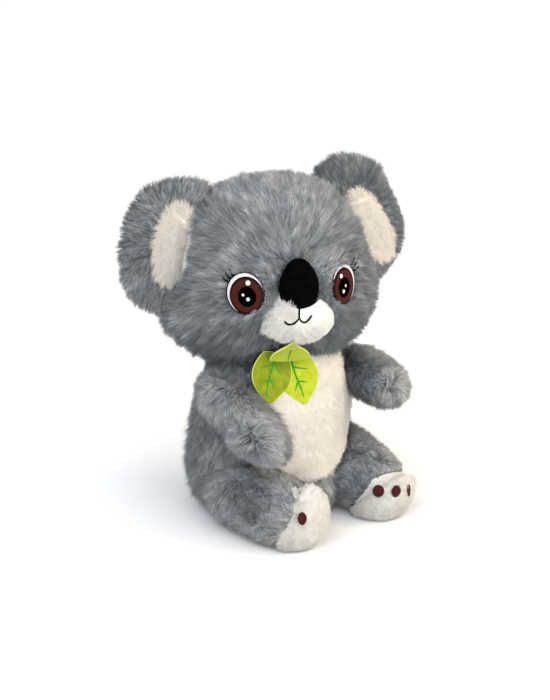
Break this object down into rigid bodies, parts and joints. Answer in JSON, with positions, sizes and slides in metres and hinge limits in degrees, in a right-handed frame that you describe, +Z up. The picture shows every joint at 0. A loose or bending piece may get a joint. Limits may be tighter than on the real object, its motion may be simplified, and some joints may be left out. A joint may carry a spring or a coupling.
{
  "type": "plush koala toy",
  "caption": "Seated plush koala with grey pile fur, cream belly and ears, embroidered eyes, velour nose and lime felt leaves under its chin; head, limbs and ears flex at sewn seams.",
  "frame": {"origin": "on the flat of the seat, under the middle of the body, at the surface it sits on", "axes": "+Z up, the koala faces -Y, its right side is -X"},
  "size_m": [0.1962, 0.153, 0.2489],
  "materials": {
    "grey_fur": "long pile fur fabric",
    "cream_plush": "short pile plush",
    "white_plush": "short pile plush",
    "black_velour": "velour",
    "maroon_velour": "velour",
    "black_thread": "embroidery",
    "white_thread": "embroidery",
    "brown_thread": "embroidery",
    "lime_felt": "felt",
    "polyester_fill": "fibre fill"
  },
  "bodies": {
    "torso": {"body_cover": "grey_fur", "body_stuffing": "polyester_fill", "belly_panel": "cream_plush"},
    "head": {"head_cover": "grey_fur", "head_stuffing": "polyester_fill", "eye_right_outline": "black_thread", "eye_right_white": "white_thread", "eye_right_iris": "brown_thread", "eye_right_pupil": "black_thread", "eye_left_outline": "black_thread", "eye_left_white": "white_thread", "eye_left_iris": "brown_thread", "eye_left_pupil": "black_thread", "muzzle": "white_plush", "nose": "black_velour", "mouth_stitch": "black_thread", "lip_stitch": "black_thread", "leaf_top": "lime_felt"},
    "leaves": {"leaf_left": "lime_felt", "leaf_right": "lime_felt"},
    "arm_right": {"arm_right_cover": "grey_fur", "arm_right_stuffing": "polyester_fill"},
    "arm_left": {"arm_left_cover": "grey_fur", "arm_left_stuffing": "polyester_fill"},
    "leg_right": {"leg_right_cover": "grey_fur", "leg_right_stuffing": "polyester_fill", "sole_right": "white_plush", "toe_pad_right_1": "maroon_velour"},
    "leg_left": {"leg_left_cover": "grey_fur", "leg_left_stuffing": "polyester_fill", "sole_left": "white_plush", "toe_pad_left_1": "maroon_velour", "toe_pad_left_2": "maroon_velour", "toe_pad_left_3": "maroon_velour"},
    "ear_right": {"ear_right_cover": "grey_fur", "ear_right_lining": "cream_plush", "ear_right_padding": "polyester_fill"},
    "ear_left": {"ear_left_cover": "grey_fur", "ear_left_lining": "cream_plush", "ear_left_padding": "polyester_fill"}
  },
  "joints": [
    {"name": "neck_turn", "type": "hinge", "parent": "torso", "child": "head", "pos_m": [0, -0.004, 0.124], "axis": [0, 0, 1], "range_deg": [-28, 28], "stiffness_Nm_per_rad": 1.5},
    {"name": "leaves_lift", "type": "hinge", "parent": "torso", "child": "leaves", "pos_m": [-0.01627, -0.04469, 0.122], "axis": [-0.9397, 0.342, 0], "range_deg": [0, 45], "stiffness_Nm_per_rad": 0.02},
    {"name": "arm_right_raise", "type": "hinge", "parent": "torso", "child": "arm_right", "pos_m": [-0.04707, -0.01862, 0.09586], "axis": [-0.8325, -0.4806, 0.2756], "range_deg": [-18, 0], "stiffness_Nm_per_rad": 1},
    {"name": "arm_left_raise", "type": "hinge", "parent": "torso", "child": "arm_left", "pos_m": [0.04707, -0.01862, 0.09586], "axis": [-0.8325, 0.4806, -0.2756], "range_deg": [-24, 24], "stiffness_Nm_per_rad": 1},
    {"name": "leg_right_lift", "type": "hinge", "parent": "torso", "child": "leg_right", "pos_m": [-0.04298, -0.00954, 0.01285], "axis": [-0.7948, -0.5565, -0.2419], "range_deg": [0, 15], "stiffness_Nm_per_rad": 1.5},
    {"name": "leg_left_lift", "type": "hinge", "parent": "torso", "child": "leg_left", "pos_m": [0.04298, -0.00954, 0.01285], "axis": [-0.7948, 0.5565, 0.2419], "range_deg": [0, 20], "stiffness_Nm_per_rad": 1.5},
    {"name": "ear_right_fold", "type": "hinge", "parent": "head", "child": "ear_right", "pos_m": [-0.06862, 0.02873, 0.19278], "axis": [-0.1808, 0.064, -0.9814], "range_deg": [-18, 18], "stiffness_Nm_per_rad": 0.15},
    {"name": "ear_left_fold", "type": "hinge", "parent": "head", "child": "ear_left", "pos_m": [0.06425, -0.01943, 0.20663], "axis": [-0.4589, 0.1625, 0.8735], "range_deg": [-18, 18], "stiffness_Nm_per_rad": 0.15}
  ]
}
